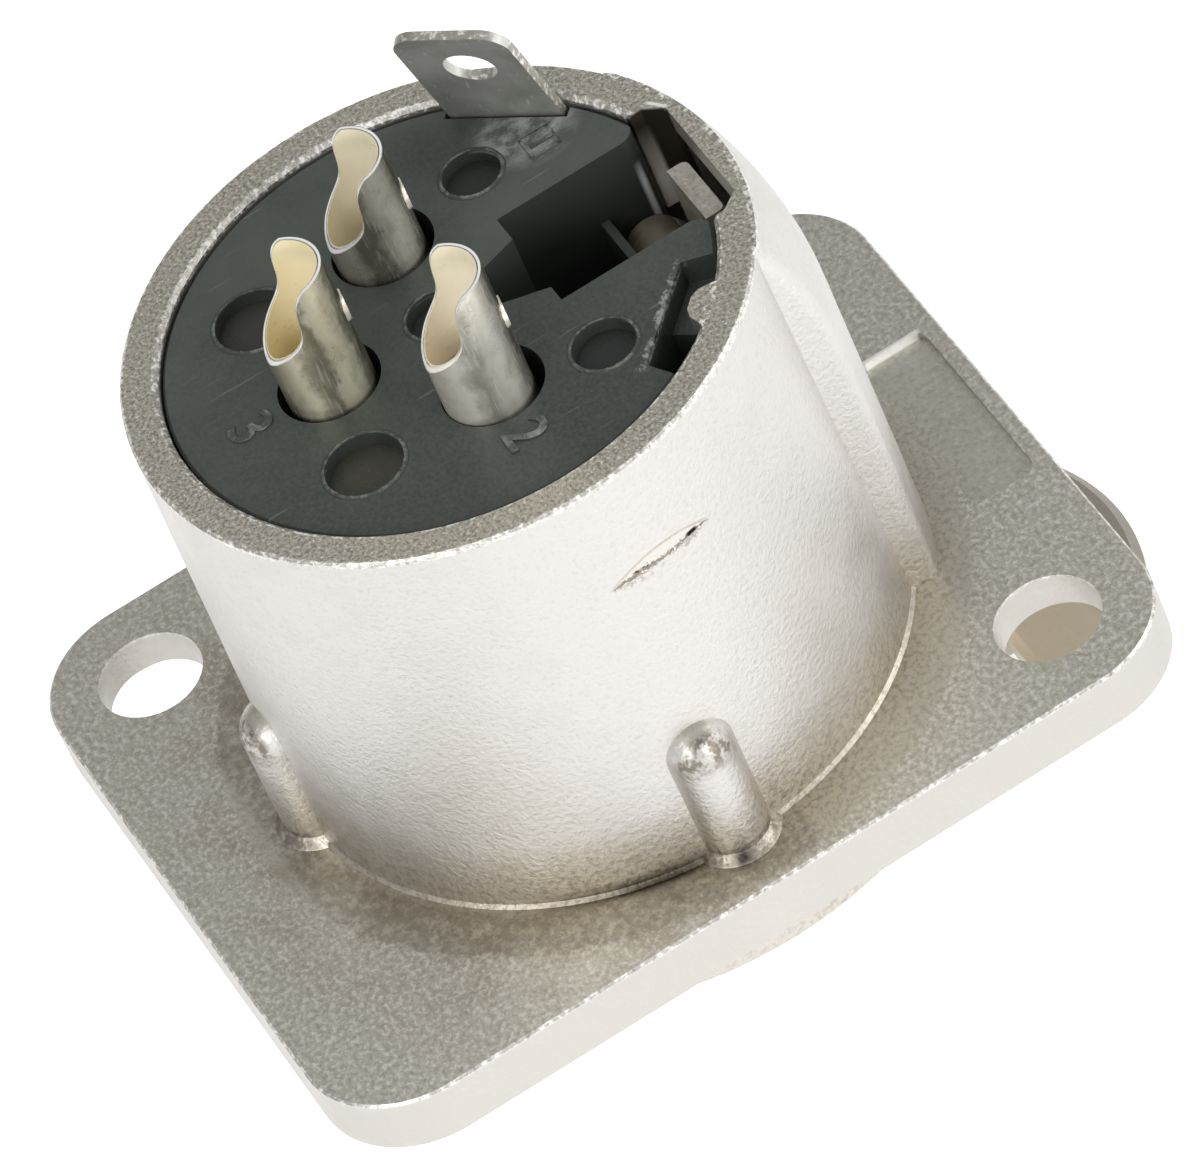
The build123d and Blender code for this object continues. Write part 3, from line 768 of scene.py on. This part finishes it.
def rolledBronze():
    # oily brown strip, nearly matt, with faint rolling lines along it
    material, tree, shader, place = newMaterial("rolled spring bronze", 0.35, 0.62)
    cloud = addNode(tree, "TexNoise", {"Vector": place}, {"Scale": perSize(spring["cloudMm"]), "Detail": 4.0})
    rolled = addNode(tree, "Mapping", {"Vector": place}, {"Scale": (1, 0.05, 0.05)})
    lines = addNode(tree, "TexNoise", {"Vector": rolled}, {"Scale": perSize(spring["lineMm"]), "Detail": 2.0})
    dark = addNode(tree, "MapRange", {"Value": cloud}, {"From Min": 0.38, "From Max": 0.66})
    pale = addNode(tree, "MapRange", {"Value": lines}, {"From Min": 0.55, "From Max": 0.7, "To Max": 0.35})
    colour = coats(tree, spring["base"], (dark, spring["dark"]), (pale, spring["line"]))
    tree.links.new(colour, shader.inputs["Base Color"])
    relief(tree, shader, (lines, spring["lineDeep"]))
    return material


dress("latch_spring", rolledBronze())
print("materials on the carried-over nodes")


def selectOnly(piece):
    bpy.ops.object.select_all(action="DESELECT")
    piece.select_set(True)
    bpy.context.view_layer.objects.active = piece


def settle(piece):
    # puts the piece's place into its mesh
    selectOnly(piece)
    bpy.ops.object.transform_apply(location=True, rotation=True, scale=True)


def raisedRing(name, centre, radius, profile, look):
    # a ring drawn out from one circle: profile gives (distance outwards, height) for each step,
    # in mm, and look the number of sides and how far they are shaken
    middle = [c * mm for c in centre]
    bpy.ops.object.select_all(action="DESELECT")
    bpy.ops.mesh.primitive_circle_add(vertices=look["sides"], radius=radius * mm,
                                      fill_type="NOTHING", location=middle)
    piece = bpy.context.object
    piece.name = name
    settle(piece)
    bpy.ops.object.mode_set(mode="EDIT")
    bpy.ops.mesh.select_all(action="SELECT")
    size = radius
    height = 0.0
    for outwards, up in profile:
        bpy.ops.mesh.extrude_edges_move(TRANSFORM_OT_translate={"value": (0, 0, (up - height) * mm)})
        grow = (radius + outwards) / size
        bpy.ops.transform.resize(value=(grow, grow, 1), center_override=middle)
        size = radius + outwards
        height = up
    bpy.ops.mesh.select_all(action="DESELECT")
    bpy.ops.mesh.select_mode(type="EDGE")
    bpy.ops.mesh.select_non_manifold(extend=False)
    bpy.ops.mesh.bridge_edge_loops()
    bpy.ops.mesh.select_all(action="SELECT")
    bpy.ops.transform.vertex_random(offset=look["shake"] * mm, seed=len(name))
    bpy.ops.mesh.normals_make_consistent(inside=False)
    bpy.ops.object.mode_set(mode="OBJECT")
    selectOnly(piece)
    bpy.ops.object.shade_smooth_by_angle(angle=math.radians(50))
    return piece


# lips that the moulding pins left round their marks
lips = {
    "colour": "#474D48",
    "pale": "#8B908A",
    "rubMm": 0.5,
    "rubDeep": 0.02,
    "rubbedFrom": (0.01, 0.06),  # above the insert's back
    "sunk": 0.02,
    "height": 0.05,
    "width": 0.2,
    "crown": 0.06,
    "clear": 0.01,
    "sides": 96,
    "shake": 0.012,
}


def scuffedAndHighlitPolyamide():
    # the same black plastic, paler where it stands proud: partly rubbed, partly a painted highlight
    material, tree, shader, place = newMaterial("scuffed black polyamide with painted highlights", 0.0, 0.42)
    rub = addNode(tree, "TexNoise", {"Vector": place},
                  {"Scale": perSize(lips["rubMm"]), "Detail": 4.0, "Roughness": 0.75})
    z = addNode(tree, "SeparateXYZ", {0: place}, out=2)
    start, full = [(insert["top"] + rise) * mm for rise in lips["rubbedFrom"]]
    high = addNode(tree, "MapRange", {"Value": z}, {"From Min": start, "From Max": full})
    rubbed = addNode(tree, "MapRange", {"Value": rub}, {"From Min": 0.46, "From Max": 0.66})
    colour = coats(tree, insert["base"], (high, lips["colour"]), (allOf(tree, high, rubbed), lips["pale"]))
    tree.links.new(colour, shader.inputs["Base Color"])
    relief(tree, shader, (rub, lips["rubDeep"]))
    return material


scuffedAndHighlitPlastic = scuffedAndHighlitPolyamide()
crownZ = lips["sunk"] + lips["height"]
profile = [(0.0, crownZ), (lips["crown"], crownZ), (lips["width"], 0.0)]
for i, (x, y, r) in enumerate(insert["marks"]):
    centre = (x, y, insert["top"] - lips["sunk"])
    lip = raisedRing("mark_lip_%d" % (i + 1), centre, r + lips["clear"], profile, lips)
    lip.data.materials.append(scuffedAndHighlitPlastic)
    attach(lip, "socket")
print("lips round the ejector marks")

# contact numbers, raised on the insert's back
numbers = {
    "places": {"1": (-4.30, 5.98), "2": (6.55, -0.19), "3": (-0.01, -6.85)},
    "sizes": {"1": 1.15, "2": 2.1, "3": 2.1},
    "thick": 0.07,
    "middleUp": 0.021,  # above the insert's back
    "bevel": 0.02,
    "merge": 0.001,
    "frame": 1.1,
    "frameWall": 0.12,
    "frameSunk": 0.02,
    "frameThick": 0.06,
    "frameTaper": (0.97, 0.98, 1),
    "frameBevel": 0.015,
}


def raisedNumber(text, place):
    bpy.ops.object.select_all(action="DESELECT")
    bpy.ops.object.text_add()
    piece = bpy.context.object
    piece.name = "number_" + text
    piece.data.body = text
    piece.data.size = numbers["sizes"][text] * mm
    piece.data.align_x = "CENTER"
    piece.data.align_y = "CENTER"
    piece.data.extrude = 0.5 * numbers["thick"] * mm  # to either side
    piece.data.bevel_depth = numbers["bevel"] * mm
    piece.data.resolution_u = 8
    selectOnly(piece)
    bpy.ops.object.convert(target="MESH")
    piece = bpy.context.object
    piece.location = (place[0] * mm, place[1] * mm, (insert["top"] + numbers["middleUp"]) * mm)
    settle(piece)
    bpy.ops.object.mode_set(mode="EDIT")
    bpy.ops.mesh.select_all(action="SELECT")
    bpy.ops.mesh.remove_doubles(threshold=numbers["merge"] * mm)
    bpy.ops.mesh.normals_make_consistent(inside=False)
    bpy.ops.object.mode_set(mode="OBJECT")
    piece.data.materials.clear()
    piece.data.materials.append(scuffedAndHighlitPlastic)
    return piece


def numberFrame():
    # a low border round number 1: a square inset and its border drawn up
    x, y = [c * mm for c in numbers["places"]["1"]]
    top = insert["top"]
    bpy.ops.object.select_all(action="DESELECT")
    bpy.ops.mesh.primitive_plane_add(size=mm, location=(x, y, (top - numbers["frameSunk"]) * mm))
    piece = bpy.context.object
    piece.name = "number_frame"
    piece.scale = (numbers["frame"], numbers["frame"], 1)
    settle(piece)
    bpy.ops.object.mode_set(mode="EDIT")
    bpy.ops.mesh.select_all(action="SELECT")
    bpy.ops.mesh.inset(thickness=numbers["frameWall"] * mm)
    bpy.ops.mesh.select_all(action="INVERT")
    bpy.ops.mesh.extrude_region_move(TRANSFORM_OT_translate={"value": (0, 0, numbers["frameThick"] * mm)})
    bpy.ops.transform.resize(value=numbers["frameTaper"], center_override=(x, y, top * mm))
    bpy.ops.mesh.select_all(action="SELECT")
    bpy.ops.mesh.normals_make_consistent(inside=False)
    bpy.ops.object.mode_set(mode="OBJECT")
    bevel = piece.modifiers.new("soft edges", "BEVEL")
    bevel.width = numbers["frameBevel"] * mm
    bevel.segments = 2
    bpy.ops.object.modifier_apply(modifier=bevel.name)
    piece.data.materials.append(scuffedAndHighlitPlastic)
    return piece


for text, place in numbers["places"].items():
    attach(raisedNumber(text, place), "socket")
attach(numberFrame(), "socket")
print("contact numbers")

# burred lips of the inspection holes in the cups
burrs = {
    "colour": "#F6F2E2",
    "grey": "#E6DFC8",
    "roughMm": 0.3,
    "roughDeep": 0.02,
    "sunk": 0.1,
    "proud": 0.05,
    "width": 0.12,
    "crown": 0.05,
    "sides": 48,
    "shake": 0.01,
}


def burredBrass():
    # bright fresh metal thrown up by the drill
    material, tree, shader, place = newMaterial("burred silvered brass", 0.45, 0.3)
    rough = addNode(tree, "TexNoise", {"Vector": place},
                    {"Scale": perSize(burrs["roughMm"]), "Detail": 3.0, "Roughness": 0.7})
    dull = addNode(tree, "MapRange", {"Value": rough}, {"From Min": 0.5, "From Max": 0.66})
    tree.links.new(coats(tree, burrs["colour"], (dull, burrs["grey"])), shader.inputs["Base Color"])
    relief(tree, shader, (rough, burrs["roughDeep"]))
    return material


def drillBurr(name):
    # modelled lying flat at the origin, then stood against the tube
    height = burrs["sunk"] + burrs["proud"]
    profile = [(0.0, height), (burrs["crown"], height), (burrs["width"], 0.0)]
    burr = raisedRing("burr_" + name[-1], (0, 0, 0), contacts["peepR"], profile, burrs)
    angle = math.radians(contacts["peepTurn"])
    outward = Vector((math.cos(angle), math.sin(angle), 0))
    x, y = contacts["axes"][name]
    reach = contacts["tubeR"] - burrs["sunk"]
    foot = (x + reach * outward.x, y + reach * outward.y, contacts["tops"][name] - contacts["peepDown"])
    burr.rotation_euler = outward.to_track_quat("Z", "Y").to_euler()
    burr.location = [c * mm for c in foot]
    settle(burr)
    return burr


burrMetal = burredBrass()
for name in contacts["axes"]:
    burr = drillBurr(name)
    burr.data.materials.append(burrMetal)
    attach(burr, "socket")
print("burrs of the inspection holes")

# studio: pale floor, soft lamps, camera as in the photograph; lengths in metres
studio = {
    "floorSize": 1.2,
    "floorBelow": 0.05 * mm,
    "floor": "#F2F2F2",
    "glow": 0.62,
    "world": 0.37,
    "lamps": [
        # name, place, size, power
        ("key", (0.30, -0.34, 0.26), 0.30, 1.15),
        ("side", (0.42, 0.14, 0.10), 0.25, 0.88),
        ("back", (0.16, 0.42, 0.20), 0.25, 0.6),
        ("top", (-0.10, 0.0, 0.56), 0.30, 0.28),
    ],
    "sensor": 36,
    "lens": 341.8,
    "clipStart": 0.01,
    "camera": (0.254631, -0.041309, 0.256909),
    # the camera's right, up and backward directions
    "right": (0.44092584, 0.84589322, -0.30008176),
    "up": (-0.55902571, 0.52039054, 0.6455106),
    "back": (0.70219275, -0.11686888, 0.7023297),
}


def addFloor():
    low = min(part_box(node)[0].z for node in nodes)
    bpy.ops.object.select_all(action="DESELECT")
    bpy.ops.mesh.primitive_plane_add(size=studio["floorSize"], location=(0, 0, low - studio["floorBelow"]))
    floor = bpy.context.object
    floor.name = "floor"
    material = bpy.data.materials.new("pale floor")
    material.use_nodes = True
    tree = material.node_tree
    tree.nodes.clear()
    rays = addNode(tree, "LightPath", out=None)
    seen = anyOf(tree, *[rays["Is %s Ray" % kind] for kind in ("Camera", "Glossy", "Transmission")])
    strength = addNode(tree, "Math", {0: seen}, {1: studio["glow"]}, operation="MULTIPLY")
    diffuse = addNode(tree, "BsdfDiffuse", values={"Color": linear(studio["floor"])})
    glow = addNode(tree, "Emission", {"Strength": strength})
    both = addNode(tree, "AddShader", {0: diffuse, 1: glow})
    addNode(tree, "OutputMaterial", {"Surface": both}, out=None)
    floor.data.materials.append(material)


def addLamps():
    for name, place, size, power in studio["lamps"]:
        data = bpy.data.lights.new(name, "AREA")
        data.size = size
        data.energy = power
        lamp = bpy.data.objects.new(name, data)
        bpy.context.scene.collection.objects.link(lamp)
        lamp.location = place
        lamp.rotation_euler = (-Vector(place)).to_track_quat("-Z", "Y").to_euler()
    world = bpy.context.scene.world or bpy.data.worlds.new("studio")
    bpy.context.scene.world = world
    world.use_nodes = True
    background = world.node_tree.nodes["Background"]
    background.inputs["Color"].default_value = (1, 1, 1, 1)
    background.inputs["Strength"].default_value = studio["world"]


def addCamera():
    data = bpy.data.cameras.new("camera")
    data.sensor_width = studio["sensor"]
    data.sensor_fit = "HORIZONTAL"
    data.lens = studio["lens"]
    data.clip_start = studio["clipStart"]
    camera = bpy.data.objects.new("camera", data)
    bpy.context.scene.collection.objects.link(camera)
    turn = Matrix([studio[key] for key in ("right", "up", "back")]).transposed().to_4x4()
    camera.matrix_world = Matrix.Translation(studio["camera"]) @ turn
    bpy.context.scene.camera = camera


addFloor()
addLamps()
addCamera()
bpy.context.scene.view_settings.view_transform = "Standard"
print("studio ready")
